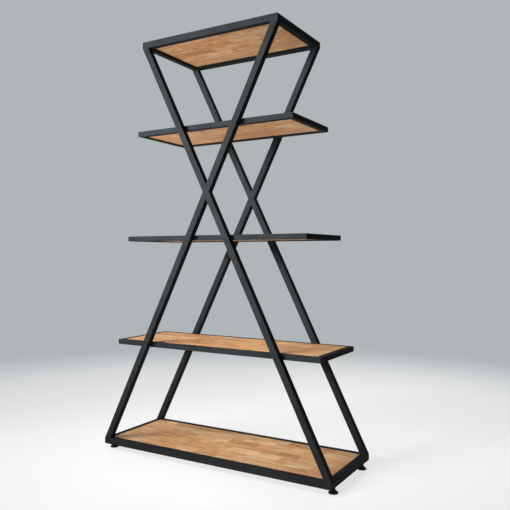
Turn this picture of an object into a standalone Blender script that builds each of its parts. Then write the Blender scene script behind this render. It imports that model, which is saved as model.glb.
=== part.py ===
"""X-frame shelf: two X frames of square steel tube, five framed wood panels and four screw feet.

Metres, +Z up, front towards -Y. The origin is on the floor, under the middle of the shelf.
"""
import math

import bmesh
import bpy
from mathutils import Matrix, Vector

# Overall sizes
BASE_WIDTH = 1.000
TOP_WIDTH = 0.600
DEPTH = 0.350

# Clear heights between the frames, from the bottom frame up to the top frame
LOW_BAY = 0.381
MID_BAY = 0.3965
TOP_BAY = 0.316

# Square steel tube
TUBE = 0.025
SHELF_TUBE = 0.020
WALL = 0.0015
INNER_CORNER = 0.0005

# Wood panels and the flat bars that carry them
PANEL_THICKNESS = 0.016
PANEL_GAP = 0.0008
PANEL_EDGE = 0.0006
LEDGE_WIDTH = 0.008
LEDGE_THICKNESS = 0.0025

# Screw feet
FOOT_INSET = 0.0425
PAD_RADIUS = 0.017
PAD_HEIGHT = 0.0144
PAD_RIM = 0.0035
PAD_EDGE = 0.0008
PAD_NECK_WALL = 0.0027
SOCKET_DEPTH = 0.009
STUD_RADIUS = 0.004
STUD_CHAMFER = 0.0008
STUD_TIP_GAP = 0.002
NUT_ACROSS_FLATS = 0.013
NUT_HEIGHT = 0.0065
INSERT_WALL = 0.0012
INSERT_LENGTH = 0.014
FLANGE_LIP = 0.002
FLANGE_THICKNESS = 0.0012

# Gap between pieces that touch
SEAM = 0.0003

# Mesh detail
CORNER_STEPS = 3
TURN_STEPS = 24
EDGE_STEPS = 2

# Sizes that follow
FRAME_HEIGHT = 2 * TUBE + 3 * SHELF_TUBE + LOW_BAY + 2 * MID_BAY + TOP_BAY
SHELF_DEPTH = DEPTH - 2 * (TUBE + SEAM)
INSERT_BORE = STUD_RADIUS + SEAM
INSERT_RADIUS = INSERT_BORE + INSERT_WALL
FLANGE_RADIUS = INSERT_RADIUS + FLANGE_LIP
SOCKET_RADIUS = STUD_RADIUS + SEAM
NECK_RADIUS = SOCKET_RADIUS + PAD_NECK_WALL
NUT_UNDERSIDE = PAD_HEIGHT + SEAM
FLANGE_UNDERSIDE = NUT_UNDERSIDE + NUT_HEIGHT + SEAM
FOOT_HEIGHT = FLANGE_UNDERSIDE + FLANGE_THICKNESS + SEAM

RIGHT = Vector((1, 0, 0))
BACK = Vector((0, 1, 0))
UP = Vector((0, 0, 1))

COLLECTION = "x_frame_shelf"
CUTTERS = "cutters"


def clear_scene():
    """Start from an empty scene with one collection for the parts and one for the cutters."""
    for item in list(bpy.data.objects):
        bpy.data.objects.remove(item, do_unlink=True)
    for name in (COLLECTION, CUTTERS):
        bpy.context.scene.collection.children.link(bpy.data.collections.new(name))


def make_material(name, color, roughness, metallic):
    material = bpy.data.materials.new(name)
    material.use_nodes = True
    shader = material.node_tree.nodes["Principled BSDF"]
    shader.inputs["Base Color"].default_value = (*color, 1)
    shader.inputs["Roughness"].default_value = roughness
    shader.inputs["Metallic"].default_value = metallic
    return material


def add_empty(name, location):
    empty = bpy.data.objects.new(name, None)
    empty.location = location
    bpy.data.collections[COLLECTION].objects.link(empty)
    return empty


def add_object(name, bm, material, parent):
    """Turn a finished bmesh into a named object under its parent."""
    mesh = bpy.data.meshes.new(name)
    bm.to_mesh(mesh)
    bm.free()
    mesh.materials.append(material)
    item = bpy.data.objects.new(name, mesh)
    item.parent = parent
    bpy.data.collections[COLLECTION].objects.link(item)
    return item


def add_cutter(name, radius, bottom, top, parent, location):
    """A round cutter along Z, hidden from the finished model."""
    bm = bmesh.new()
    shift = Matrix.Translation(UP * (bottom + top) / 2)
    bmesh.ops.create_cone(bm, cap_ends=True, segments=TURN_STEPS, radius1=radius, radius2=radius,
                          depth=top - bottom, matrix=shift)
    mesh = bpy.data.meshes.new(name)
    bm.to_mesh(mesh)
    bm.free()
    cutter = bpy.data.objects.new(name, mesh)
    cutter.parent = parent
    cutter.location = location
    cutter.hide_render = True
    cutter.display_type = "WIRE"
    bpy.data.collections[CUTTERS].objects.link(cutter)
    return cutter


def cut(item, cutter):
    """Take the cutter's shape out of a piece."""
    modifier = item.modifiers.new(cutter.name, "BOOLEAN")
    modifier.operation = "DIFFERENCE"
    modifier.solver = "EXACT"
    modifier.object = cutter


def add_rounded_bar(bm, length, side, radius):
    """A square bar along X with its four long edges rounded."""
    size = Matrix.Diagonal((length, side, side, 1))
    corners = bmesh.ops.create_cube(bm, size=1, matrix=size)["verts"]
    long_edges = []
    for edge in bm.edges:
        first, last = edge.verts
        if first in corners and abs(first.co.x - last.co.x) > length / 2:
            long_edges.append(edge)
    bmesh.ops.bevel(bm, geom=long_edges, offset=radius, segments=CORNER_STEPS, profile=0.5, affect="EDGES")


def add_tube(name, side, start, end, cuts, material, parent):
    """Hollow square tube from start to end, trimmed by planes of a point and an outward normal."""
    axis = end - start
    place = Matrix.LocRotScale((start + end) / 2, axis.to_track_quat("X", "Z"), None)
    to_local = place.inverted()
    length = axis.length + 4 * side
    bm = bmesh.new()
    add_rounded_bar(bm, length, side - 2 * WALL, INNER_CORNER)
    bmesh.ops.reverse_faces(bm, faces=bm.faces[:])
    add_rounded_bar(bm, length, side, INNER_CORNER + WALL)
    for point, normal in cuts:
        everything = bm.verts[:] + bm.edges[:] + bm.faces[:]
        sliced = bmesh.ops.bisect_plane(bm, geom=everything, plane_co=to_local @ point,
                                        plane_no=to_local.to_3x3() @ normal, clear_outer=True)
        rim = [edge for edge in sliced["geom_cut"] if isinstance(edge, bmesh.types.BMEdge)]
        bmesh.ops.bridge_loops(bm, edges=rim)
    bmesh.ops.recalc_face_normals(bm, faces=bm.faces[:])
    item = add_object(name, bm, material, parent)
    item.matrix_local = place
    return item


def add_box(name, size, location, material, parent):
    bm = bmesh.new()
    bmesh.ops.create_cube(bm, size=1, matrix=Matrix.Diagonal((*size, 1)))
    item = add_object(name, bm, material, parent)
    item.location = location
    return item


def add_turned(name, profile, closed, material, parent):
    """Turn a profile of (radius, height) points, running down its outer side, about Z."""
    bm = bmesh.new()
    points = [bm.verts.new((radius, 0, height)) for radius, height in profile]
    for first, last in zip(points, points[1:]):
        bm.edges.new((first, last))
    if closed:
        bm.edges.new((points[-1], points[0]))
    item = add_object(name, bm, material, parent)
    turn = item.modifiers.new("turn", "SCREW")
    turn.axis = "Z"
    turn.angle = 2 * math.pi
    turn.steps = TURN_STEPS
    turn.render_steps = TURN_STEPS
    turn.use_merge_vertices = True
    turn.merge_threshold = 0.00001
    turn.use_smooth_shade = True
    return item


def add_frame(name, width, depth, side, underside, material, parent):
    """Four mitred rails around one panel."""
    rails = {}
    middle = UP * (underside + side / 2)
    for label, along in (("front", RIGHT), ("right", BACK), ("rear", -RIGHT), ("left", -BACK)):
        out = along.cross(UP)
        reach = abs(along.x) * width / 2 + abs(along.y) * depth / 2
        offset = abs(out.x) * width / 2 + abs(out.y) * depth / 2
        centre = middle + out * (offset - side / 2)
        cuts = []
        for way in (along, -along):
            normal = (way - out).normalized()
            corner = middle + way * reach + out * offset
            cuts.append((corner - normal * SEAM / 2, normal))
        rails[label] = add_tube(f"{name}_rail_{label}", side, centre - along * reach, centre + along * reach,
                                cuts, material, parent)
    return rails


def add_panel(name, width, depth, side, underside, wood, steel, parent):
    """A wood panel flush with the top of its frame, and the two flat bars that it lies on."""
    inner_width = width - 2 * side
    inner_depth = depth - 2 * side
    size = (inner_width - 2 * PANEL_GAP, inner_depth - 2 * PANEL_GAP, PANEL_THICKNESS)
    top = underside + side
    panel = add_box(f"{name}_panel", size, UP * (top - PANEL_THICKNESS / 2), wood, parent)
    edge = panel.modifiers.new("edge", "BEVEL")
    edge.width = PANEL_EDGE
    edge.segments = EDGE_STEPS
    ledge_height = top - PANEL_THICKNESS - SEAM - LEDGE_THICKNESS / 2
    ledge_offset = inner_depth / 2 - SEAM - LEDGE_WIDTH / 2
    for label, way in (("front", -BACK), ("rear", BACK)):
        add_box(f"{name}_ledge_{label}", (inner_width - 2 * SEAM, LEDGE_WIDTH, LEDGE_THICKNESS),
                UP * ledge_height + way * ledge_offset, steel, parent)


def leg_slope():
    """Sideways run of a leg per unit of height.

    A leg's outer edge meets the end of the bottom frame on one side and that of the top frame on the other.
    """
    run = (BASE_WIDTH + TOP_WIDTH) / 2
    rise = FRAME_HEIGHT - 2 * TUBE
    return (run * rise - TUBE * math.sqrt(run ** 2 + rise ** 2 - TUBE ** 2)) / (rise ** 2 - TUBE ** 2)


def add_cross(name, depth_offset, material, parent):
    """One X: a whole leg that leans left, and the other leg in two halves that meet it."""
    slope = leg_slope()
    rise = FRAME_HEIGHT - 2 * TUBE
    foot = BASE_WIDTH / 2 - TUBE / 2 * math.sqrt(1 + slope ** 2)
    head = foot - slope * rise
    centre = BACK * depth_offset
    low = centre + UP * TUBE
    high = centre + UP * (TUBE + rise)
    crossing = low + UP * foot / slope
    across = Vector((1, 0, slope)).normalized()
    floor_cut = (low + UP * SEAM, -UP)
    roof_cut = (high - UP * SEAM, UP)
    lower_cut = (crossing - across * (TUBE / 2 + SEAM), across)
    upper_cut = (crossing + across * (TUBE / 2 + SEAM), -across)
    add_tube(f"{name}_leg_whole", TUBE, low + RIGHT * foot, high + RIGHT * head, (floor_cut, roof_cut),
             material, parent)
    add_tube(f"{name}_leg_lower_half", TUBE, low - RIGHT * foot, crossing, (floor_cut, lower_cut),
             material, parent)
    add_tube(f"{name}_leg_upper_half", TUBE, crossing, high - RIGHT * head, (upper_cut, roof_cut),
             material, parent)


def add_foot(label, rail, location, materials):
    """A pad on a threaded stud with a lock nut, screwed into an insert in the rail above."""
    foot = add_empty(f"foot_{label}", location)
    socket_floor = PAD_HEIGHT - SOCKET_DEPTH
    add_turned(f"foot_pad_{label}", (
        (0, socket_floor),
        (SOCKET_RADIUS, socket_floor),
        (SOCKET_RADIUS, PAD_HEIGHT),
        (NECK_RADIUS - PAD_EDGE, PAD_HEIGHT),
        (NECK_RADIUS, PAD_HEIGHT - PAD_EDGE),
        (PAD_RADIUS - PAD_EDGE, PAD_RIM + PAD_EDGE),
        (PAD_RADIUS, PAD_RIM),
        (PAD_RADIUS, PAD_EDGE),
        (PAD_RADIUS - PAD_EDGE, 0),
        (0, 0),
    ), False, materials["plastic"], foot)
    stud_top = FOOT_HEIGHT + TUBE - WALL - STUD_TIP_GAP
    add_turned(f"foot_stud_{label}", (
        (0, stud_top),
        (STUD_RADIUS - STUD_CHAMFER, stud_top),
        (STUD_RADIUS, stud_top - STUD_CHAMFER),
        (STUD_RADIUS, socket_floor + SEAM),
        (0, socket_floor + SEAM),
    ), False, materials["zinc"], foot)
    bm = bmesh.new()
    across_corners = NUT_ACROSS_FLATS / math.cos(math.pi / 6)
    bmesh.ops.create_cone(bm, cap_ends=True, segments=6, radius1=across_corners / 2,
                          radius2=across_corners / 2, depth=NUT_HEIGHT,
                          matrix=Matrix.Translation(UP * (NUT_UNDERSIDE + NUT_HEIGHT / 2)))
    nut = add_object(f"foot_nut_{label}", bm, materials["zinc"], foot)
    cut(nut, add_cutter(f"nut_bore_{label}", STUD_RADIUS + SEAM, 0, FOOT_HEIGHT, foot, Vector()))
    insert_top = FOOT_HEIGHT + INSERT_LENGTH
    flange_top = FLANGE_UNDERSIDE + FLANGE_THICKNESS
    add_turned(f"foot_insert_{label}", (
        (INSERT_BORE, insert_top),
        (INSERT_RADIUS, insert_top),
        (INSERT_RADIUS, flange_top),
        (FLANGE_RADIUS, flange_top),
        (FLANGE_RADIUS, FLANGE_UNDERSIDE),
        (INSERT_BORE, FLANGE_UNDERSIDE),
    ), True, materials["zinc"], foot)
    cut(rail, add_cutter(f"insert_hole_{label}", INSERT_RADIUS + SEAM, 0, FOOT_HEIGHT + TUBE / 2, foot,
                         Vector()))


def frame_sizes():
    """Name, width, depth, tube and underside of each frame, from the bottom up."""
    low = TUBE + LOW_BAY
    mid = low + SHELF_TUBE + MID_BAY
    high = mid + SHELF_TUBE + MID_BAY
    sizes = [("bottom", BASE_WIDTH, DEPTH, TUBE, 0)]
    for name, underside in (("low_shelf", low), ("mid_shelf", mid), ("high_shelf", high)):
        width = BASE_WIDTH + (TOP_WIDTH - BASE_WIDTH) * underside / FRAME_HEIGHT
        sizes.append((name, width, SHELF_DEPTH, SHELF_TUBE, underside))
    sizes.append(("top", TOP_WIDTH, DEPTH, TUBE, FRAME_HEIGHT - TUBE))
    return sizes


def build():
    clear_scene()
    materials = {
        "steel": make_material("black powder coat", (0.018, 0.020, 0.021), 0.55, 0.0),
        "wood": make_material("glued hardwood staves", (0.47, 0.27, 0.13), 0.50, 0.0),
        "zinc": make_material("black zinc plate", (0.06, 0.06, 0.065), 0.40, 1.0),
        "plastic": make_material("black nylon", (0.010, 0.010, 0.011), 0.50, 0.0),
    }
    frame = add_empty("frame", UP * FOOT_HEIGHT)
    rails = {}
    for name, width, depth, side, underside in frame_sizes():
        rails[name] = add_frame(name, width, depth, side, underside, materials["steel"], frame)
        add_panel(name, width, depth, side, underside, materials["wood"], materials["steel"], frame)
    cross_offset = (DEPTH - TUBE) / 2
    add_cross("front", -cross_offset, materials["steel"], frame)
    add_cross("rear", cross_offset, materials["steel"], frame)
    foot_side = (BASE_WIDTH - TUBE) / 2
    foot_depth = DEPTH / 2 - FOOT_INSET
    for end, depth_way in (("front", -BACK), ("rear", BACK)):
        for hand, side_way in (("left", -RIGHT), ("right", RIGHT)):
            add_foot(f"{end}_{hand}", rails["bottom"][hand], side_way * foot_side + depth_way * foot_depth,
                     materials)


build()
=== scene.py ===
import math
import random

import bmesh
import bpy
from bpy.props import FloatProperty, FloatVectorProperty, IntProperty, PointerProperty
from mathutils import Matrix, Vector


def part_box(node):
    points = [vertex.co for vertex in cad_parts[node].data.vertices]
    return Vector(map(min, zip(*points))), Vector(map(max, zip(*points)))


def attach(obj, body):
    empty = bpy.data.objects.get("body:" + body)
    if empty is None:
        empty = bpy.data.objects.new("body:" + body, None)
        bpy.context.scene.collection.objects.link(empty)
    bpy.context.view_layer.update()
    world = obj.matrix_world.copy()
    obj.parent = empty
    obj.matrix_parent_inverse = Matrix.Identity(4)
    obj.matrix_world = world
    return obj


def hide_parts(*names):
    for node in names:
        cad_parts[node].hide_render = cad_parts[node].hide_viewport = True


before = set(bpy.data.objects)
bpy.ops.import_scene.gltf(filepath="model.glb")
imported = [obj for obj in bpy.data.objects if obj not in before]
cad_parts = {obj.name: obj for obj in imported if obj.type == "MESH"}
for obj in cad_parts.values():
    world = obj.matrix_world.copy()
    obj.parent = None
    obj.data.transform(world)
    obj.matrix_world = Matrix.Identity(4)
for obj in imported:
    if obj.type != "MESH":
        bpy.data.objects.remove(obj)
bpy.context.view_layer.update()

bl_info = {
    "name": "X-Frame Shelf",
    "version": (1, 0, 0),
    "blender": (4, 5, 0),
    "location": "3D View > Sidebar > Shelf",
    "description": "Dresses a five-tier steel and oak shelf and sets up its studio",
    "category": "Object",
}

MM = 0.001
UP = Vector((0, 0, 1))
RIGHT = Vector((1, 0, 0))
BACK = Vector((0, 1, 0))

LEVELS = ("bottom", "low_shelf", "mid_shelf", "high_shelf", "top")
HELD_SHELVES = ("low_shelf", "mid_shelf", "high_shelf")
ENDS = ("front", "rear")
HANDS = ("left", "right")
CORNERS = [f"{end}_{hand}" for end in ENDS for hand in HANDS]

COAT = "powder_coat_satin_black"
ZINC = "black_zinc_plated_steel"

# places of the colour sockets on a Mix node
MIX_A = 6
MIX_B = 7
MIX_RESULT = 2

# corners closer than this are one corner
TOUCHING = 1e-6
# an edge that turns by more than this stays sharp
TURNED_SHARP = math.radians(32)
WELD_SHARP = math.radians(40)
SCREW_SHARP = math.radians(40)
THREAD_SHARP = math.radians(50)

# rounded edge of a tube, and the gap at its joints
TUBE_CORNER = 2.0 * MM
TUBE_CORNER_STEPS = 3
SEAM = 0.3 * MM
# the leg's slope is found from its box in rounds, from a first guess
SLOPE_GUESS = 0.5
SLOPE_ROUNDS = 40

# painted light and shade: the staves of each board are made darker or paler to set how lit that board
# looks, darker on the low and high shelves and paler on the top
BOARD_PAINTED_LIGHT_AND_SHADE = {"low_shelf": -0.17, "high_shelf": -0.05, "top": 0.05}
# tone and pink cast of the staves, as mean and spread
STAVE_TONE = (0.58, 0.13)
STAVE_PINK = (0.08, 0.18)
PINK_LIMIT = 0.5
# how far the middle of the tree lies from a stave, in metres
HEART_ALONG = 9.0
HEART_ACROSS = 0.06
HEART_NEAREST = 0.02
HEART_FARTHEST = 0.11

# a bead's sections to a ripple, its fewest sections, and the steps and hollow of its face
BEAD_SECTIONS = 4
BEAD_FEWEST = 6
BEAD_FACE_STEPS = 5
BEAD_HOLLOW = 1.5
# shares of a bead's size: swell of a ripple, its very end, and its growth from there in each section
BEAD_SWELL = 0.06
BEAD_END = 0.55
BEAD_GROWTH = 0.15
# places across a tube's rounded edge where a ground weld is drawn
FLUSH_PLACES = (0.06, 0.25, 0.5, 0.75, 1.0)
# share of a mitre's seam that weld metal fills on each side
MITRE_FILL = 0.75

SCREW_STEPS = 24
SCREW_INSET = 60.0 * MM
# a screw head's dome, as shares of its radius and its height
SCREW_DOME = ((1.0, 0.35), (0.93, 0.62), (0.78, 0.86), (0.58, 1.0))
# where the socket's wall ends and how deep its floor dips, as shares of the head's height
SOCKET_WALL = 0.3
SOCKET_FLOOR = 0.2

THREAD_STEPS = 32
# one turn of a thread, as shares of its pitch and of its depth below the crest
THREAD_SHAPE = ((0.0, 1.0), (0.25, 1.0), (0.5625, 0.0), (0.6875, 0.0))
# turns drawn past the stud's ends, which are then cut off
TURNS_BELOW = 2
TURNS_SPARE = 3

# a pad's sole and rim in mm: inset from its radius, and height
PAD_SOLE = ((5.0, 0.6), (4.4, 0.0), (1.1, 0.0), (0.4, 0.3), (0.0, 1.0), (0.0, 2.9), (0.3, 3.6))
# a pad's cone: inset and height of its foot, its steps and the bend of its side
PAD_CONE_INSET = 0.9 * MM
PAD_CONE_FOOT = 4.1 * MM
PAD_CONE_STEPS = 10
PAD_CONE_BEND = 1.18
PAD_NECK = 7.0 * MM
# the collar on a pad's neck in mm: inset from the neck, and drop from the top
PAD_COLLAR = ((0.0, 1.2), (0.2, 0.4), (0.8, 0.0))
PAD_SINK = 0.5 * MM

NUT_STEPS = 72
# a nut's chamfer: depths in mm at which it is drawn, its slope, and the flat face's share of the width
NUT_CHAMFER = (0.0, 0.2, 0.4, 0.6, 0.9)
NUT_SLOPE = math.tan(math.radians(60))
NUT_FACE = 0.96
NUT_SINK = 0.6 * MM

INSERT_WALL = 1.2 * MM
INSERT_FLANGE = 1.2 * MM
INSERT_EDGE = 0.3 * MM
INSERT_RIM = 0.4 * MM
INSERT_SINK = 0.5 * MM

FLOOR_RADIUS = 30.0
FLOOR_STEPS = 96
# the floor starts to fade and ends in the backdrop's grey this far from the object, in metres
FADE_START = 0.9
FADE_END = 3.2
SENSOR_WIDTH = 36.0
# lamps no wider than this are hidden from mirror reflections, in degrees
NARROW_BEAM = 40
# name of a lamp, its width and height, its beam in degrees, its place and its aim
LAMPS = (
    ("key", (1.8, 1.2), 36, (-1.9, -3.3, 1.8), (0.0, 0.0, 1.2)),
    ("base", (1.6, 1.6), 30, (-1.2, -2.0, 2.5), (0.0, 0.0, -0.3)),
    ("low_left", (1.2, 0.5), 80, (-1.9, 0.0, 0.35), (0.0, 0.0, 1.4)),
    ("low_front", (2.0, 0.4), 80, (-0.5, -2.2, 0.2), (0.0, 0.0, 1.5)),
    ("overhead", (2.0, 2.0), 100, (-0.8, 0.6, 3.0), (0.0, 0.0, 0.2)),
    ("back", (1.0, 1.2), 40, (0.0, 3.4, 1.6), (0.0, 0.0, 0.9)),
    ("top", (0.6, 0.35), 20, (0.0, 0.0, 3.0), (0.0, 0.0, 1.6)),
)


def linear(hex_colour):
    """Turn an sRGB hex value into linear red, green and blue."""
    channels = [int(hex_colour[place:place + 2], 16) / 255 for place in (1, 3, 5)]
    return tuple(c / 12.92 if c <= 0.04045 else ((c + 0.055) / 1.055) ** 2.4 for c in channels)


def length_property(name, description, default):
    """A size in metres that a user may change."""
    return FloatProperty(name=name, description=description, default=default, min=0.0, precision=5,
                         subtype="DISTANCE", unit="LENGTH")


def colour_property(name, description, hex_colour):
    """A colour that a user may change, written as an sRGB hex value."""
    return FloatVectorProperty(name=name, description=description, default=linear(hex_colour), size=3,
                               min=0.0, max=1.0, subtype="COLOR")


def power_property(name, description, default):
    """A lamp's power in watts that a user may change."""
    return FloatProperty(name=name, description=description, default=default, unit="POWER")


class ShelfSizes(bpy.types.PropertyGroup):
    """Sizes of the boards, welds, screws and feet"""
    stave_width: length_property("Stave width", "Width of one glued stave", 0.0425)
    stave_shortest: length_property("Shortest stave", "Least length of a stave in a row", 0.085)
    stave_longest: length_property("Longest stave", "Greatest length of a stave in a row", 0.21)
    stave_stagger: length_property("Stagger", "Least offset of the butt joints in two rows", 0.035)
    glue_line: length_property("Glue line", "Width of the line between two staves", 0.0001)
    stave_edge: length_property("Stave edge", "Chamfer that sanding leaves on a stave", 0.00018)
    bead: length_property("Weld bead", "Leg length of a fillet weld", 0.0030)
    bead_ripple: length_property("Bead ripple", "Spacing of the ripples along a bead", 0.0020)
    ledge_edge: length_property("Ledge edge", "Rounding on the flat bars", 0.0004)
    screw_head: length_property("Screw head", "Diameter of a board screw's head", 0.0064)
    screw_height: length_property("Screw head height", "Height of a board screw's head", 0.0011)
    screw_socket: length_property("Screw socket", "Hexagon socket, across its flats", 0.0025)
    thread_pitch: length_property("Thread pitch", "Rise of the foot thread in one turn", 0.00125)
    thread_depth: length_property("Thread depth", "Depth of the foot thread", 0.00065)
    turn_steps: IntProperty(name="Turn steps", description="Sides of a turned piece", default=64, min=12)
    pattern_seed: IntProperty(name="Pattern seed", description="Start of the stave pattern", default=7)


class ShelfColours(bpy.types.PropertyGroup):
    """Colours of the finishes"""
    coat: colour_property("Powder coat", "Black powder coat where it is full", "#222425")
    coat_thin: colour_property("Thin coat", "Powder coat where it is thinner", "#292B2D")
    oak_dark: colour_property("Dark oak", "Darkest staves", "#A17146")
    oak_brown: colour_property("Brown oak", "Staves a little darker than most", "#C39060")
    oak_middle: colour_property("Oak", "Most staves", "#DBAD75")
    oak_light: colour_property("Light oak", "Palest staves", "#F5D6AC")
    oak_pink: colour_property("Pink oak", "Wood with a red cast", "#CE9263")
    oak_ring: colour_property("Late wood", "Dark part of a growth ring", "#976941")
    oak_pore: colour_property("Pores", "Open pores of the oak", "#775535")
    zinc: colour_property("Black zinc", "Black passivated zinc", "#3A3B3D")
    zinc_brown: colour_property("Brown zinc", "Where the passivation is thin", "#45413C")
    nylon: colour_property("Nylon", "Black moulded nylon", "#0F0F10")
    nylon_worn: colour_property("Rubbed nylon", "Nylon where it is rubbed", "#19191A")
    floor: colour_property("Floor", "Pale studio floor", "#DEDFDF")
    floor_seen: colour_property("Floor glow", "White that the floor shows to the camera", "#FDFDFD")
    backdrop: colour_property("Backdrop", "Pale grey behind the object", "#AFB5B8")


class StudioSettings(bpy.types.PropertyGroup):
    """Camera and light of the studio"""
    camera_place: FloatVectorProperty(name="Camera", description="Where the camera stands", size=3,
                                      default=(1.29933, -2.02509, 0.79474), subtype="TRANSLATION")
    camera_turn: FloatProperty(name="Camera turn", description="Turn of the level camera to the left",
                               default=0.532, subtype="ANGLE")
    camera_lens: FloatProperty(name="Lens", description="Focal length on a 36 mm sensor", default=43.36,
                               subtype="DISTANCE_CAMERA", unit="CAMERA")
    camera_shift: FloatProperty(name="Shift", description="Upward shift of the picture, in widths",
                                default=-0.00175)
    key_power: power_property("Key", "Power of the gridded softbox, front left", 34.0)
    base_power: power_property("Base", "Power of the gridded softbox aimed at the base", 5.3)
    low_left_power: power_property("Low left", "Power of the strip low on the left", 5.0)
    low_front_power: power_property("Low front", "Power of the strip low in front", 7.8)
    overhead_power: power_property("Overhead", "Power of the large softbox overhead", 3.6)
    back_power: power_property("Back", "Power of the gridded softbox behind the shelf", 3.8)
    top_power: power_property("Top", "Power of the narrow spot on the top board", 0.5)
    sky_strength: FloatProperty(name="Sky", description="Strength of the soft light all round",
                                default=0.06, subtype="FACTOR")


def add_node(tree, kind, settings=None, values=None, links=None, ramp=None):
    """Add one shader node with its settings, input values, links and colour stops."""
    node = tree.nodes.new("ShaderNode" + kind)
    for name, value in (settings or {}).items():
        setattr(node, name, value)
    for name, value in (values or {}).items():
        node.inputs[name].default_value = value
    for name, socket in (links or {}).items():
        tree.links.new(socket, node.inputs[name])
    if ramp:
        stops = node.color_ramp.elements
        while len(stops) < len(ramp):
            stops.new(0.5)
        for stop, (place, colour) in zip(stops, ramp):
            stop.position = place
            stop.color = rgba(colour)
    return node


def new_material(name):
    """An empty node material and its node tree."""
    material = bpy.data.materials.new(name)
    material.use_nodes = True
    material.node_tree.nodes.clear()
    return material, material.node_tree


def add_surface(tree, values, links):
    """Finish a material with its shader, which takes plain values and patterns, and its output."""
    shader = add_node(tree, "BsdfPrincipled", values=values, links=links)
    add_node(tree, "OutputMaterial", links={"Surface": shader.outputs["BSDF"]})


def grey(level):
    """A grey colour stop."""
    return (level, level, level)


def rgba(colour):
    """A colour with its alpha."""
    return (*colour, 1.0)


def powder_coat(colours):
    """Polyester powder coat on steel, sprayed as dust and baked.

    The melt leaves a satin black with a fine orange peel and slight cloudiness in tone and gloss.
    """
    material, tree = new_material(COAT)
    place = add_node(tree, "TexCoord").outputs["Object"]
    # cloudiness about 90 mm across, from the uneven film
    cloud = add_node(tree, "TexNoise", values={"Scale": 11.0, "Detail": 3.0, "Roughness": 0.6},
                     links={"Vector": place})
    # orange peel is about 0.8 mm, drawn at 1.6 mm so that it shows
    peel = add_node(tree, "TexNoise", values={"Scale": 620.0, "Detail": 2.0, "Roughness": 0.5},
                    links={"Vector": place})
    tone = add_node(tree, "ValToRGB", links={"Fac": cloud.outputs["Fac"]},
                    ramp=[(0.35, colours.coat), (0.70, colours.coat_thin)])
    grain = add_node(tree, "ValToRGB", links={"Fac": peel.outputs["Fac"]},
                     ramp=[(0.30, grey(0.86)), (0.70, grey(1.10))])
    colour = add_node(tree, "Mix", settings={"data_type": "RGBA", "blend_type": "MULTIPLY"},
                      values={"Factor": 1.0},
                      links={MIX_A: tone.outputs["Color"], MIX_B: grain.outputs["Color"]})
    gloss = add_node(tree, "MapRange", values={"To Min": 0.54, "To Max": 0.66},
                     links={"Value": cloud.outputs["Fac"]})
    bump = add_node(tree, "Bump", values={"Strength": 0.10, "Distance": 0.0002},
                    links={"Height": peel.outputs["Fac"]})
    # less sheen than is usual, so that faces turned from the lamps stay as dark as the real ones
    add_surface(tree, {"IOR": 1.50, "Specular IOR Level": 0.02},
                {"Base Color": colour.outputs[MIX_RESULT], "Roughness": gloss.outputs["Result"],
                 "Normal": bump.outputs["Normal"]})
    return material


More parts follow.
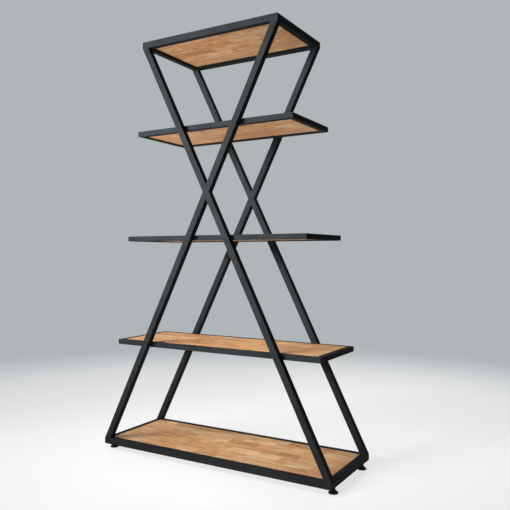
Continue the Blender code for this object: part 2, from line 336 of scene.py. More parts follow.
def oiled_oak(colours):
    """Oak staves, planed, glued, sanded and oiled.

    Each stave comes from another tree, so tone, pink cast and the curve of its rings change at each
    joint. Long fibres and short open pores run along the stave, and oil leaves a low satin sheen.
    """
    material, tree = new_material("oiled_oak_staves")
    place = add_node(tree, "TexCoord").outputs["Object"]
    tone = add_node(tree, "Attribute", settings={"attribute_name": "stave_tone"}).outputs["Fac"]
    pink = add_node(tree, "Attribute", settings={"attribute_name": "stave_pink"}).outputs["Fac"]
    heart = add_node(tree, "Attribute", settings={"attribute_name": "stave_heart"}).outputs["Vector"]
    # distance from the middle of the tree, which lies near each stave and a little askew
    trunk = add_node(tree, "VectorMath", settings={"operation": "SUBTRACT"}, links={0: place, 1: heart})
    askew = add_node(tree, "Mapping", values={"Rotation": (0.0, 0.055, 0.03)},
                     links={"Vector": trunk.outputs["Vector"]})
    # growth rings are about 3 mm, drawn at 7 mm so that they show
    rings = add_node(tree, "TexWave",
                     settings={"wave_type": "RINGS", "rings_direction": "X", "wave_profile": "SAW"},
                     values={"Scale": 45.0, "Distortion": 2.2, "Detail": 3.0, "Detail Scale": 1.4},
                     links={"Vector": askew.outputs["Vector"]})
    # waves to the metre along and across the stave, and the offset and noise of each pattern
    patterns = (
        # fibre streaks 5 mm wide and 110 mm long
        (9.0, 200.0, (0.0, 0.0, 0.0), {"Detail": 4.0, "Roughness": 0.62}),
        # pores are about 0.3 mm wide and 6 mm long, drawn at 0.5 mm and 11 mm so that they show
        (90.0, 2000.0, (0.0, 0.0, 0.0), {"Detail": 1.0}),
        # figure in patches 60 mm long and 17 mm wide, where the fibres rise and dip
        (17.0, 58.0, (0.0, 0.0, 0.0), {"Detail": 2.5, "Distortion": 0.5}),
        # red and yellow casts in patches 100 mm long and 40 mm wide
        (10.0, 25.0, (0.0, 0.0, 0.0), {"Detail": 2.0}),
        # short dark flecks 70 mm long and 11 mm wide
        (14.0, 90.0, (3.0, 5.0, 7.0), {"Detail": 3.0, "Distortion": 0.4}),
    )
    fields = []
    for along, across, offset, noise in patterns:
        way = add_node(tree, "Mapping", values={"Scale": (along, across, across), "Location": offset},
                       links={"Vector": trunk.outputs["Vector"]})
        field = add_node(tree, "TexNoise", values={"Scale": 1.0, **noise},
                         links={"Vector": way.outputs["Vector"]})
        fields.append(field.outputs["Fac"])
    streak, pore, figure, cast, fleck = fields
    wander = add_node(tree, "Math", settings={"operation": "MULTIPLY_ADD"}, values={1: 0.9, 2: -0.45},
                      links={0: streak})
    drift = add_node(tree, "Math", settings={"operation": "MULTIPLY_ADD"}, values={1: 1.5, 2: -0.75},
                     links={0: figure})
    shade = add_node(tree, "Math", settings={"operation": "ADD"},
                     links={0: tone, 1: wander.outputs["Value"]})
    shade = add_node(tree, "Math", settings={"operation": "ADD", "use_clamp": True},
                     links={0: shade.outputs["Value"], 1: drift.outputs["Value"]})
    plain = add_node(tree, "ValToRGB", links={"Fac": shade.outputs["Value"]},
                     ramp=[(0.0, colours.oak_dark), (0.30, colours.oak_brown),
                           (0.60, colours.oak_middle), (1.0, colours.oak_light)])
    red_patch = add_node(tree, "MapRange", values={"From Min": 0.40, "From Max": 0.70, "To Max": 0.55},
                         links={"Value": cast})
    red_share = add_node(tree, "Math", settings={"operation": "ADD", "use_clamp": True},
                         links={0: red_patch.outputs["Result"], 1: pink})
    red = add_node(tree, "Mix", settings={"data_type": "RGBA"},
                   values={MIX_B: rgba(colours.oak_pink)},
                   links={"Factor": red_share.outputs["Value"], MIX_A: plain.outputs["Color"]})
    dark_share = add_node(tree, "MapRange", values={"From Min": 0.57, "From Max": 0.73, "To Max": 0.70},
                          links={"Value": fleck})
    warm = add_node(tree, "Mix", settings={"data_type": "RGBA"},
                    values={MIX_B: rgba(colours.oak_dark)},
                    links={"Factor": dark_share.outputs["Result"], MIX_A: red.outputs[MIX_RESULT]})
    late = add_node(tree, "MapRange", values={"From Min": 0.55, "From Max": 1.0, "To Max": 0.22},
                    links={"Value": rings.outputs["Fac"]})
    ringed = add_node(tree, "Mix", settings={"data_type": "RGBA"},
                      values={MIX_B: rgba(colours.oak_ring)},
                      links={"Factor": late.outputs["Result"], MIX_A: warm.outputs[MIX_RESULT]})
    open_pore = add_node(tree, "MapRange", values={"From Min": 0.60, "From Max": 0.72},
                         links={"Value": pore})
    pore_share = add_node(tree, "Math", settings={"operation": "MULTIPLY"}, values={1: 0.45},
                          links={0: open_pore.outputs["Result"]})
    colour = add_node(tree, "Mix", settings={"data_type": "RGBA"},
                      values={MIX_B: rgba(colours.oak_pore)},
                      links={"Factor": pore_share.outputs["Value"], MIX_A: ringed.outputs[MIX_RESULT]})
    gloss = add_node(tree, "MapRange", values={"To Min": 0.46, "To Max": 0.60},
                     links={"Value": streak})
    relief = add_node(tree, "Math", settings={"operation": "SUBTRACT"},
                      links={0: streak, 1: open_pore.outputs["Result"]})
    bump = add_node(tree, "Bump", values={"Strength": 0.16, "Distance": 0.0002},
                    links={"Height": relief.outputs["Value"]})
    add_surface(tree, {"IOR": 1.45, "Specular IOR Level": 0.35},
                {"Base Color": colour.outputs[MIX_RESULT], "Roughness": gloss.outputs["Result"],
                 "Normal": bump.outputs["Normal"]})
    return material


def black_zinc(colours):
    """Steel fasteners with black passivated zinc plate.

    The bath leaves a dark satin metal with a faint brown cast in patches.
    """
    material, tree = new_material(ZINC)
    place = add_node(tree, "TexCoord").outputs["Object"]
    # patches about 5 mm across
    patch = add_node(tree, "TexNoise", values={"Scale": 200.0, "Detail": 3.0}, links={"Vector": place})
    colour = add_node(tree, "ValToRGB", links={"Fac": patch.outputs["Fac"]},
                      ramp=[(0.40, colours.zinc), (0.70, colours.zinc_brown)])
    gloss = add_node(tree, "MapRange", values={"To Min": 0.30, "To Max": 0.48},
                     links={"Value": patch.outputs["Fac"]})
    add_surface(tree, {"Metallic": 1.0},
                {"Base Color": colour.outputs["Color"], "Roughness": gloss.outputs["Result"]})
    return material


def moulded_nylon(colours):
    """Black nylon, injection moulded in a spark-eroded mould.

    The mould leaves an even matt grain, and the foot rubs paler where it is handled.
    """
    material, tree = new_material("moulded_black_nylon")
    place = add_node(tree, "TexCoord").outputs["Object"]
    # spark grain is about 0.1 mm, drawn at 0.7 mm so that it shows
    grain = add_node(tree, "TexNoise", values={"Scale": 1400.0, "Detail": 1.0}, links={"Vector": place})
    # rubbed patches about 6 mm across
    rub = add_node(tree, "TexNoise", values={"Scale": 160.0, "Detail": 3.0}, links={"Vector": place})
    colour = add_node(tree, "ValToRGB", links={"Fac": rub.outputs["Fac"]},
                      ramp=[(0.45, colours.nylon), (0.80, colours.nylon_worn)])
    gloss = add_node(tree, "MapRange", values={"To Min": 0.55, "To Max": 0.70},
                     links={"Value": rub.outputs["Fac"]})
    bump = add_node(tree, "Bump", values={"Strength": 0.20, "Distance": 0.0001},
                    links={"Height": grain.outputs["Fac"]})
    add_surface(tree, {"IOR": 1.53, "Specular IOR Level": 0.25},
                {"Base Color": colour.outputs["Color"], "Roughness": gloss.outputs["Result"],
                 "Normal": bump.outputs["Normal"]})
    return material


def seen_directly(tree):
    """One where the camera, a mirror or glass looks, and nought for the light that falls on things."""
    path = add_node(tree, "LightPath")
    mirrored = add_node(tree, "Math", settings={"operation": "MAXIMUM"},
                        links={0: path.outputs["Is Glossy Ray"], 1: path.outputs["Is Transmission Ray"]})
    either = add_node(tree, "Math", settings={"operation": "MAXIMUM"},
                      links={0: path.outputs["Is Camera Ray"], 1: mirrored.outputs["Value"]})
    return either.outputs["Value"]


def studio_floor(colours):
    """Matt white studio floor that fades to the backdrop's grey away from the object.

    To the camera it glows white, with a share of its plain matt paint left to carry the shadow.
    """
    material, tree = new_material("matt_studio_floor")
    paint = add_node(tree, "BsdfPrincipled",
                     values={"Base Color": rgba(colours.floor), "Roughness": 0.85,
                             "Specular IOR Level": 0.1})
    place = add_node(tree, "TexCoord").outputs["Object"]
    far = add_node(tree, "VectorMath", settings={"operation": "LENGTH"}, links={0: place})
    fade = add_node(tree, "MapRange", settings={"interpolation_type": "SMOOTHERSTEP"},
                    values={"From Min": FADE_START, "From Max": FADE_END},
                    links={"Value": far.outputs["Value"]})
    hue = add_node(tree, "Mix", settings={"data_type": "RGBA"},
                   values={MIX_A: rgba(colours.floor_seen), MIX_B: rgba(colours.backdrop)},
                   links={"Factor": fade.outputs["Result"]})
    strength = add_node(tree, "MapRange", values={"To Min": 1.25, "To Max": 1.0},
                        links={"Value": fade.outputs["Result"]})
    glow = add_node(tree, "Emission", links={"Color": hue.outputs[MIX_RESULT],
                                             "Strength": strength.outputs["Result"]})
    glow_share = add_node(tree, "MapRange", values={"To Min": 0.58, "To Max": 1.0},
                          links={"Value": fade.outputs["Result"]})
    share = add_node(tree, "Math", settings={"operation": "MULTIPLY"},
                     links={0: glow_share.outputs["Result"], 1: seen_directly(tree)})
    mix = add_node(tree, "MixShader", links={0: share.outputs["Value"], 1: paint.outputs["BSDF"],
                                             2: glow.outputs["Emission"]})
    add_node(tree, "OutputMaterial", links={"Surface": mix.outputs["Shader"]})
    # the glow is for the eye alone, so no light is drawn from it
    material.cycles.emission_sampling = "NONE"
    return material


def make_piece(name, bm, material, body, replaced=(), smooth_angle=None):
    """Turn a bmesh into a named piece that rides on a body of the frame."""
    if not bm.faces:
        raise RuntimeError(f"{name} has no faces")
    bmesh.ops.recalc_face_normals(bm, faces=bm.faces[:])
    mesh = bpy.data.meshes.new(name)
    bm.to_mesh(mesh)
    bm.free()
    mesh.materials.append(material)
    if smooth_angle is not None:
        mesh.shade_smooth()
        mesh.set_sharp_from_angle(angle=smooth_angle)
    piece = bpy.data.objects.new(name, mesh)
    bpy.context.scene.collection.objects.link(piece)
    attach(piece, body)
    if replaced:
        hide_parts(*replaced)


def dress_node(name, material):
    """Give a CAD node its finish and join its triangles so that later modifiers see one skin."""
    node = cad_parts[name]
    for place in node.material_slots:
        place.material = material
    join = node.modifiers.new("join triangles", "WELD")
    join.merge_threshold = TOUCHING
    return node


def around(centre, reach, angle, height):
    """A point at an angle and a reach from an upright axis."""
    return centre + Vector((reach * math.cos(angle), reach * math.sin(angle), height))


def add_sections(bm, sections):
    """Join a row of closed outlines into one closed skin."""
    rows = [[bm.verts.new(point) for point in section] for section in sections]
    for low, high in zip(rows, rows[1:]):
        for side in range(len(low)):
            after = (side + 1) % len(low)
            bm.faces.new((low[side], low[after], high[after], high[side]))
    bm.faces.new(rows[0][::-1])
    bm.faces.new(rows[-1])


def add_turned(bm, profile, steps, centre):
    """Turn a profile of radius and height about an upright axis.

    A radius may be a function of the angle, as for a hexagon. The profile starts and ends on the axis,
    or closes on itself.
    """
    rings = []
    for radius, height in profile:
        if radius == 0:
            rings.append([bm.verts.new(centre + UP * height)])
            continue
        ring = []
        for step in range(steps):
            angle = 2 * math.pi * step / steps
            reach = radius(angle) if callable(radius) else radius
            ring.append(bm.verts.new(around(centre, reach, angle, height)))
        rings.append(ring)
    pairs = list(zip(rings, rings[1:]))
    if len(rings[0]) > 1:
        pairs.append((rings[-1], rings[0]))
    for low, high in pairs:
        for step in range(steps):
            after = (step + 1) % steps
            if len(low) == 1:
                bm.faces.new((low[0], high[after], high[step]))
            elif len(high) == 1:
                bm.faces.new((low[step], low[after], high[0]))
            else:
                bm.faces.new((low[step], low[after], high[after], high[step]))


def hexagon(across_flats, limit=math.inf):
    """Radius of a hexagon by angle, with its corners on the X axis and cut back to a circle."""
    def radius(angle):
        from_flat = (angle % (math.pi / 3)) - math.pi / 6
        return min(across_flats / 2 / math.cos(from_flat), limit)
    return radius


def add_thread(bm, centre, low, high, radius, sizes):
    """A right-hand screw thread between two heights, closed at both ends."""
    pitch = sizes.thread_pitch
    rows = []
    for turn in range(math.ceil((high - low) / pitch) + TURNS_SPARE):
        for share, sunk in THREAD_SHAPE:
            reach = radius - sizes.thread_depth * sunk
            row = []
            for step in range(THREAD_STEPS):
                angle = 2 * math.pi * step / THREAD_STEPS
                height = low + (turn - TURNS_BELOW + share + step / THREAD_STEPS) * pitch
                row.append(bm.verts.new(around(centre, reach, angle, height)))
            rows.append(row)
    next_turn = len(THREAD_SHAPE)
    for below in range(len(rows) - next_turn - 1):
        for step in range(THREAD_STEPS):
            if step + 1 < THREAD_STEPS:
                ahead = rows[below][step + 1], rows[below + 1][step + 1]
            else:
                ahead = rows[below + next_turn][0], rows[below + 1 + next_turn][0]
            bm.faces.new((rows[below][step], ahead[0], ahead[1], rows[below + 1][step]))
    for height, way in ((low, -UP), (high, UP)):
        parts = bm.verts[:] + bm.edges[:] + bm.faces[:]
        bmesh.ops.bisect_plane(bm, geom=parts, plane_co=centre + UP * height, plane_no=way,
                               clear_outer=True)
        rim = [edge for edge in bm.edges if edge.is_boundary and
               all(abs(corner.co.z - centre.z - height) < TOUCHING for corner in edge.verts)]
        bmesh.ops.edgeloop_fill(bm, edges=rim)
    # the cuts leave corners that all but touch
    bmesh.ops.remove_doubles(bm, verts=bm.verts[:], dist=TOUCHING)
    loose = [corner for corner in bm.verts if not corner.link_faces]
    bmesh.ops.delete(bm, geom=loose, context="VERTS")


def add_bead(bm, start, end, first, second, sizes):
    """A fillet weld from start to end, in the corner of faces that run off along first and second."""
    steps = max(BEAD_FEWEST, round((end - start).length / sizes.bead_ripple) * BEAD_SECTIONS)
    sections = []
    for step in range(steps + 1):
        swell = 1 + BEAD_SWELL * math.cos(2 * math.pi * step / BEAD_SECTIONS)
        taper = min(1.0, BEAD_END + BEAD_GROWTH * min(step, steps - step))
        leg = sizes.bead * swell * taper
        middle = start.lerp(end, step / steps)
        section = [middle - (first + second) * SEAM, middle + first * leg - second * SEAM]
        for arc in range(BEAD_FACE_STEPS + 1):
            angle = math.pi / 2 * arc / BEAD_FACE_STEPS
            section.append(middle + first * leg * math.cos(angle) ** BEAD_HOLLOW
                           + second * leg * math.sin(angle) ** BEAD_HOLLOW)
        section.append(middle + second * leg - first * SEAM)
        sections.append(section)
    add_sections(bm, sections)


def add_flush_weld(bm, corner, along, toward, out, reach, side):
    """Weld metal ground flush where the end of one tube meets the rounded edge of another.

    The corner is the middle of the sharp edge that the other tube would have, along runs with that edge,
    toward points into the other tube, and out is the outward side of the face that both tubes share.
    """
    stretch = reach / side
    sections = []
    for share in FLUSH_PLACES:
        hollow = TUBE_CORNER * (1 - math.sqrt(1 - (1 - share) ** 2))
        place = reach / 2 - TUBE_CORNER * share * stretch
        rise = 1 - hollow / TUBE_CORNER
        section = [(hollow, -SEAM)]
        for step in range(TUBE_CORNER_STEPS + 1):
            angle = math.pi / 2 * rise * (1 - step / TUBE_CORNER_STEPS)
            section.append((TUBE_CORNER * (1 - math.sin(angle)), TUBE_CORNER * (1 - math.cos(angle))))
        section.append((TUBE_CORNER + SEAM, SEAM))
        section.append((TUBE_CORNER + SEAM, -SEAM))
        sections.append((place, section))
    sections = [(-place, section) for place, section in sections] + sections[::-1]
    add_sections(bm, [[corner + along * place - out * inward + toward * deep for inward, deep in section]
                      for place, section in sections])


def tube_outline(side):
    """Outline of a square tube with rounded corners, as distances from two of its faces."""
    near = TUBE_CORNER
    far = side - TUBE_CORNER
    outline = []
    for quarter, (across, height) in enumerate(((far, far), (near, far), (near, near), (far, near))):
        for step in range(TUBE_CORNER_STEPS + 1):
            angle = math.pi / 2 * (quarter + step / TUBE_CORNER_STEPS)
            outline.append((across + TUBE_CORNER * math.cos(angle),
                            height + TUBE_CORNER * math.sin(angle)))
    return outline


def add_corner_fills(bm, name):
    """Weld metal in the four mitres of one frame, ground flush."""
    low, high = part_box(f"{name}_rail_front")
    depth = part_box(f"{name}_rail_rear")[1].y
    outline = tube_outline(high.z - low.z)
    gap = SEAM * MITRE_FILL
    for across in (-1, 1):
        for along in (-1, 1):
            cut = [Vector((across * (high.x - inward), along * (depth - inward), low.z + height))
                   for inward, height in outline]
            add_sections(bm, [[point - RIGHT * across * gap for point in cut], cut,
                              [point - BACK * along * gap for point in cut]])


def leg_geometry(end):
    """Low and high corner of the whole leg's box, the leg's width on the level, and its slope."""
    low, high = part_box(f"{end}_leg_whole")
    side = high.y - low.y
    slope = SLOPE_GUESS
    for _ in range(SLOPE_ROUNDS):
        slope = (high.x - low.x - side * math.sqrt(1 + slope ** 2)) / (high.z - low.z)
    level = side * math.sqrt(1 + slope ** 2)
    return low, high, level, slope


def add_cross_welds(bm, end, sizes):
    """Beads where the legs of one X meet each other and the frames, and ground welds on its faces."""
    low, high, level, slope = leg_geometry(end)
    side = high.y - low.y
    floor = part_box(f"bottom_rail_{end}")[1].z
    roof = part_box(f"top_rail_{end}")[0].z
    lean = Vector((-slope, 0, 1)).normalized()
    mirrored = Vector((-lean.x, 0, lean.z))
    foot = high.x - level / 2
    head = low.x + level / 2
    crossing = Vector((0, 0, low.z + foot / slope))
    corners = []
    for way in (1, -1):
        up = Vector((way * lean.x, 0, lean.z))
        corners.append((Vector((way * (foot - level / 2), 0, floor)), -way * RIGHT, up))
        corners.append((Vector((way * (head + level / 2), 0, roof)), way * RIGHT, -up))
    tall = UP * (side / 2 / -lean.x)
    wide = RIGHT * (level / 2)
    corners.append((crossing + tall, lean, mirrored))
    corners.append((crossing - tall, -lean, -mirrored))
    corners.append((crossing + wide, mirrored, -lean))
    corners.append((crossing - wide, -mirrored, lean))
    start = BACK * (low.y + TUBE_CORNER)
    stop = BACK * (high.y - TUBE_CORNER)
    for corner, first, second in corners:
        add_bead(bm, corner + start, corner + stop, first, second, sizes)
    butt = side / abs(2 * lean.x * lean.z)
    across = Vector((lean.z, 0, -lean.x))
    offset = across * (side / 2) + lean * (butt / 2 * (lean.z ** 2 - lean.x ** 2))
    for plane, out in ((low.y, -BACK), (high.y, BACK)):
        face = BACK * plane
        for way in (1, -1):
            add_flush_weld(bm, Vector((way * foot, 0, floor)) + face, RIGHT, -UP, out, level, side)
            add_flush_weld(bm, Vector((way * head, 0, roof)) + face, RIGHT, UP, out, level, side)
            add_flush_weld(bm, crossing + offset * way + face, lean, across * -way, out, butt, side)


def add_shelf_beads(bm, name, end, sizes):
    """Beads on both sides of the legs of one X, where a shelf's rail lies against them."""
    low, high, level, slope = leg_geometry(end)
    rail_low, rail_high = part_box(f"{name}_rail_{end}")
    plane, out = (high.y, -BACK) if end == "front" else (low.y, BACK)
    for way in (1, -1):
        for side in (1, -1):
            points = []
            for height in (rail_low.z + TUBE_CORNER, rail_high.z - TUBE_CORNER):
                middle = high.x - level / 2 - slope * (height - low.z)
                points.append(Vector((way * middle + side * level / 2, plane, height)))
            add_bead(bm, points[0], points[1], side * RIGHT, out, sizes)


def stave_joints(total, sizes, chance, taken):
    """Butt joints along one row, kept clear of the joints in the row before."""
    joints = [0.0]
    while total - joints[-1] > sizes.stave_longest:
        length = chance.uniform(sizes.stave_shortest, sizes.stave_longest)
        length = min(length, total - joints[-1] - sizes.stave_shortest)
        place = joints[-1] + length
        if any(abs(place - other) < sizes.stave_stagger for other in taken):
            place += sizes.stave_stagger
        joints.append(place)
    joints.append(total)
    return joints


def add_staves(bm, name, sizes, chance):
    """Glue up one board in rows of staves, each with its own tone, pink cast and tree."""
    low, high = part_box(f"{name}_panel")
    rows = round((high.y - low.y) / sizes.stave_width)
    row_width = (high.y - low.y) / rows
    gap = Vector((sizes.glue_line, sizes.glue_line, 0))
    tone_layer = bm.faces.layers.float.new("stave_tone")
    pink_layer = bm.faces.layers.float.new("stave_pink")
    heart_layer = bm.faces.layers.float_vector.new("stave_heart")
    taken = []
    for row in range(rows):
        joints = stave_joints(high.x - low.x, sizes, chance, taken)
        taken = joints[1:-1]
        for start, end in zip(joints, joints[1:]):
            size = Vector((end - start, row_width, high.z - low.z))
            centre = Vector((low.x + (start + end) / 2, low.y + (row + 0.5) * row_width,
                             (low.z + high.z) / 2))
            matrix = Matrix.Translation(centre) @ Matrix.Diagonal((*(size - gap), 1))
            block = bmesh.ops.create_cube(bm, size=1, matrix=matrix)
            # the board's painted light and shade shifts the tone of its staves
            tone = min(max(chance.gauss(*STAVE_TONE) + BOARD_PAINTED_LIGHT_AND_SHADE.get(name, 0.0), 0.0), 1.0)
            pink = min(max(chance.gauss(*STAVE_PINK), 0.0), PINK_LIMIT)
            way = chance.choice((-1, 1))
            heart = centre + Vector((chance.uniform(-HEART_ALONG, HEART_ALONG),
                                     chance.uniform(-HEART_ACROSS, HEART_ACROSS),
                                     way * chance.uniform(HEART_NEAREST, HEART_FARTHEST)))
            for face in {face for corner in block["verts"] for face in corner.link_faces}:
                face[tone_layer] = tone
                face[pink_layer] = pink
                face[heart_layer] = heart
    bmesh.ops.bevel(bm, geom=bm.edges[:], offset=sizes.stave_edge, segments=1, affect="EDGES")


def screw_profile(sizes):
    """Outline of a screw's domed head below a flat bar, with its hexagon socket."""
    radius = sizes.screw_head / 2
    tall = sizes.screw_height
    socket = hexagon(sizes.screw_socket)
    dome = [(radius * wide, -tall * drop) for wide, drop in SCREW_DOME]
    return [(0, 0), (radius, 0), *dome,
            (socket, -tall), (socket, -tall * SOCKET_WALL), (0, -tall * SOCKET_FLOOR)]


def pad_profile(radius, tall, bore, bore_floor):
    """Outline of a pad: hollow sole, upright rim, cone, neck and the blind bore for its stud."""
    profile = [(0, PAD_SOLE[0][1] * MM)]
    profile += [(radius - inset * MM, height * MM) for inset, height in PAD_SOLE]
    cone_top = tall - PAD_COLLAR[0][1] * MM
    for step in range(1, PAD_CONE_STEPS):
        share = step / PAD_CONE_STEPS
        reach = PAD_NECK + (radius - PAD_CONE_INSET - PAD_NECK) * (1 - share) ** PAD_CONE_BEND
        profile.append((reach, PAD_CONE_FOOT + (cone_top - PAD_CONE_FOOT) * share))
    profile += [(PAD_NECK - inset * MM, tall - drop * MM) for inset, drop in PAD_COLLAR]
    profile += [(bore + PAD_SINK, tall), (bore, tall - PAD_SINK), (bore, bore_floor), (0, bore_floor)]
    return profile


def nut_profile(low, high, flats, bore):
    """Outline of a hexagon nut, chamfered at both faces and countersunk at its bore."""
    chamfer = [(hexagon(flats, flats / 2 * NUT_FACE + drop * MM * NUT_SLOPE), drop * MM)
               for drop in NUT_CHAMFER]
    return [(bore + NUT_SINK, low),
            *[(reach, low + drop) for reach, drop in chamfer],
            *[(reach, high - drop) for reach, drop in reversed(chamfer)],
            (bore + NUT_SINK, high), (bore, high - NUT_SINK), (bore, low + NUT_SINK)]


def insert_profile(low, high, flange, bore):
    """Outline of a threaded insert: a sleeve that stands in the tube, with a flange at its foot."""
    sleeve = bore + INSERT_WALL
    flange_top = low + INSERT_FLANGE
    return [(bore, high), (sleeve - INSERT_EDGE, high), (sleeve, high - INSERT_EDGE),
            (sleeve, flange_top), (flange - INSERT_EDGE, flange_top),
            (flange, flange_top - INSERT_EDGE), (flange, low + INSERT_RIM),
            (flange - INSERT_RIM, low), (bore + INSERT_SINK, low), (bore, low + INSERT_SINK)]


class SHELF_OT_coat_frame(bpy.types.Operator):
    """Give the welded tubes and flat bars their powder coat"""
    bl_idname = "shelf.coat_frame"
    bl_label = "Coat the steel frame"

    def execute(self, context):
        coat = powder_coat(context.scene.shelf_colours)
        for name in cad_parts:
            if "_rail_" in name or "_leg_" in name:
                node = dress_node(name, coat)
                shading = node.modifiers.new("even corners", "WEIGHTED_NORMAL")
                shading.weight = 100
            elif "_ledge_" in name:
                node = dress_node(name, coat)
                edge = node.modifiers.new("rolled edge", "BEVEL")
                edge.width = context.scene.shelf_sizes.ledge_edge
                edge.segments = 2
        return {"FINISHED"}


class SHELF_OT_weld_frame(bpy.types.Operator):
    """Lay the fillet welds and the ground welds of the steel frame"""
    bl_idname = "shelf.weld_frame"
    bl_label = "Weld the frame"

    def execute(self, context):
        sizes = context.scene.shelf_sizes
        coat = bpy.data.materials[COAT]
        for end in ENDS:
            bm = bmesh.new()
            add_cross_welds(bm, end, sizes)
            make_piece(f"{end}_cross_welds", bm, coat, "frame", smooth_angle=WELD_SHARP)
        for name in LEVELS:
            bm = bmesh.new()
            add_corner_fills(bm, name)
            if name in HELD_SHELVES:
                for end in ENDS:
                    add_shelf_beads(bm, name, end, sizes)
            make_piece(f"{name}_welds", bm, coat, "frame", smooth_angle=WELD_SHARP)
        return {"FINISHED"}


class SHELF_OT_lay_boards(bpy.types.Operator):
    """Glue up the five oak boards from staves"""
    bl_idname = "shelf.lay_boards"
    bl_label = "Lay the oak boards"

    def execute(self, context):
        sizes = context.scene.shelf_sizes
        oak = oiled_oak(context.scene.shelf_colours)
        for level, name in enumerate(LEVELS):
            bm = bmesh.new()
            add_staves(bm, name, sizes, random.Random(sizes.pattern_seed + level))
            make_piece(f"{name}_board", bm, oak, "frame", [f"{name}_panel"])
        return {"FINISHED"}


class SHELF_OT_drive_screws(bpy.types.Operator):
    """Drive the screws that hold each board to its two flat bars"""
    bl_idname = "shelf.drive_screws"
    bl_label = "Drive the board screws"

    def execute(self, context):
        profile = screw_profile(context.scene.shelf_sizes)
        zinc = black_zinc(context.scene.shelf_colours)
        for name in LEVELS:
            bm = bmesh.new()
            for end in ENDS:
                low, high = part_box(f"{name}_ledge_{end}")
                reach = (high.x - low.x) / 2 - SCREW_INSET
                for share in (-1, 0, 1):
                    centre = Vector((share * reach, (low.y + high.y) / 2, low.z))
                    add_turned(bm, profile, SCREW_STEPS, centre)
            make_piece(f"{name}_screws", bm, zinc, "frame", smooth_angle=SCREW_SHARP)
        return {"FINISHED"}


class SHELF_OT_fit_feet(bpy.types.Operator):
    """Fit the four levelling feet, with their pads, threads, nuts and inserts"""
    bl_idname = "shelf.fit_feet"
    bl_label = "Fit the levelling feet"

    def execute(self, context):
        sizes = context.scene.shelf_sizes
        nylon = moulded_nylon(context.scene.shelf_colours)
        zinc = bpy.data.materials[ZINC]
        for corner in CORNERS:
            low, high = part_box(f"foot_pad_{corner}")
            stud_low, stud_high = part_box(f"foot_stud_{corner}")
            middle = (low + high) / 2
            centre = Vector((middle.x, middle.y, 0))
            thread = (stud_high.x - stud_low.x) / 2
            profile = pad_profile(high.x - middle.x, high.z, thread + SEAM, stud_low.z - SEAM)
            bm = bmesh.new()
            add_turned(bm, profile, sizes.turn_steps, centre)
            make_piece(f"nylon_pad_{corner}", bm, nylon, f"foot_{corner}",
                       [f"foot_pad_{corner}"], TURNED_SHARP)

            bm = bmesh.new()
            add_thread(bm, centre, stud_low.z, stud_high.z, thread, sizes)
            make_piece(f"threaded_stud_{corner}", bm, zinc, f"stud_{corner}",
                       [f"foot_stud_{corner}"], THREAD_SHARP)

            low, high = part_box(f"foot_nut_{corner}")
            flats = min(high.x - low.x, high.y - low.y)
            profile = nut_profile(low.z, high.z, flats, thread + SEAM / 2)
            bm = bmesh.new()
            add_turned(bm, profile, NUT_STEPS, centre)
            make_piece(f"lock_nut_{corner}", bm, zinc, f"stud_{corner}",
                       [f"foot_nut_{corner}"], TURNED_SHARP)

            low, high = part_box(f"foot_insert_{corner}")
            profile = insert_profile(low.z, high.z, (high.x - low.x) / 2, thread + SEAM)
            bm = bmesh.new()
            add_turned(bm, profile, sizes.turn_steps, centre)
            make_piece(f"threaded_insert_{corner}", bm, zinc, "frame",
                       [f"foot_insert_{corner}"], TURNED_SHARP)
        return {"FINISHED"}


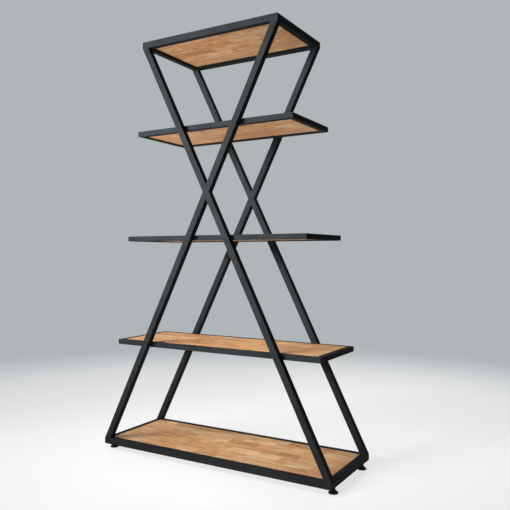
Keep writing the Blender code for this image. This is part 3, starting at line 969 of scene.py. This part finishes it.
class SHELF_OT_build_studio(bpy.types.Operator):
    """Set up the floor, the soft light and the camera"""
    bl_idname = "shelf.build_studio"
    bl_label = "Build the studio"

    def execute(self, context):
        scene = context.scene
        settings = scene.shelf_studio
        colours = scene.shelf_colours
        scene.view_settings.view_transform = "Standard"

        bm = bmesh.new()
        bmesh.ops.create_circle(bm, cap_ends=True, segments=FLOOR_STEPS, radius=FLOOR_RADIUS)
        mesh = bpy.data.meshes.new("studio_floor")
        bm.to_mesh(mesh)
        bm.free()
        mesh.materials.append(studio_floor(colours))
        floor = bpy.data.objects.new("studio_floor", mesh)
        scene.collection.objects.link(floor)

        world = bpy.data.worlds.new("soft_studio")
        world.use_nodes = True
        tree = world.node_tree
        tree.nodes.clear()
        seen = seen_directly(tree)
        fill = add_node(tree, "Background", values={"Color": rgba(colours.backdrop),
                                                    "Strength": settings.sky_strength})
        plain = add_node(tree, "Background", values={"Color": rgba(colours.backdrop), "Strength": 1.0})
        mix = add_node(tree, "MixShader", links={0: seen, 1: fill.outputs["Background"],
                                                 2: plain.outputs["Background"]})
        add_node(tree, "OutputWorld", links={"Surface": mix.outputs["Shader"]})
        scene.world = world

        for name, (wide, tall), beam, place, aim in LAMPS:
            lamp = bpy.data.lights.new(f"{name}_light", "AREA")
            lamp.energy = getattr(settings, f"{name}_power")
            lamp.shape = "RECTANGLE"
            lamp.size = wide
            lamp.size_y = tall
            lamp.spread = math.radians(beam)
            light = bpy.data.objects.new(f"{name}_light", lamp)
            light.location = place
            light.rotation_euler = (Vector(aim) - Vector(place)).to_track_quat("-Z", "Y").to_euler()
            light.visible_camera = False
            # the narrow lamps are polarised, so they leave no glare on the boards
            light.visible_glossy = beam > NARROW_BEAM
            scene.collection.objects.link(light)

        lens = bpy.data.cameras.new("photo_camera")
        lens.sensor_width = SENSOR_WIDTH
        lens.lens = settings.camera_lens
        lens.shift_y = settings.camera_shift
        camera = bpy.data.objects.new("photo_camera", lens)
        camera.location = settings.camera_place
        camera.rotation_euler = (math.pi / 2, 0.0, settings.camera_turn)
        scene.collection.objects.link(camera)
        scene.camera = camera
        return {"FINISHED"}


class SHELF_PT_tools(bpy.types.Panel):
    """Lists the steps that dress the shelf"""
    bl_idname = "SHELF_PT_tools"
    bl_label = "X-Frame Shelf"
    bl_space_type = "VIEW_3D"
    bl_region_type = "UI"
    bl_category = "Shelf"

    def draw(self, context):
        for step in STEPS:
            self.layout.operator(step.bl_idname)


STEPS = (
    SHELF_OT_coat_frame,
    SHELF_OT_weld_frame,
    SHELF_OT_lay_boards,
    SHELF_OT_drive_screws,
    SHELF_OT_fit_feet,
    SHELF_OT_build_studio,
)
GROUPS = {
    "shelf_sizes": ShelfSizes,
    "shelf_colours": ShelfColours,
    "shelf_studio": StudioSettings,
}


def register():
    for group in GROUPS.values():
        bpy.utils.register_class(group)
    for name, group in GROUPS.items():
        setattr(bpy.types.Scene, name, PointerProperty(type=group))
    for step in (*STEPS, SHELF_PT_tools):
        bpy.utils.register_class(step)


def unregister():
    for step in (SHELF_PT_tools, *reversed(STEPS)):
        bpy.utils.unregister_class(step)
    for name in GROUPS:
        delattr(bpy.types.Scene, name)
    for group in GROUPS.values():
        bpy.utils.unregister_class(group)


def main():
    register()
    bpy.ops.shelf.coat_frame()
    bpy.ops.shelf.weld_frame()
    bpy.ops.shelf.lay_boards()
    bpy.ops.shelf.drive_screws()
    bpy.ops.shelf.fit_feet()
    bpy.ops.shelf.build_studio()


if __name__ == "__main__":
    main()
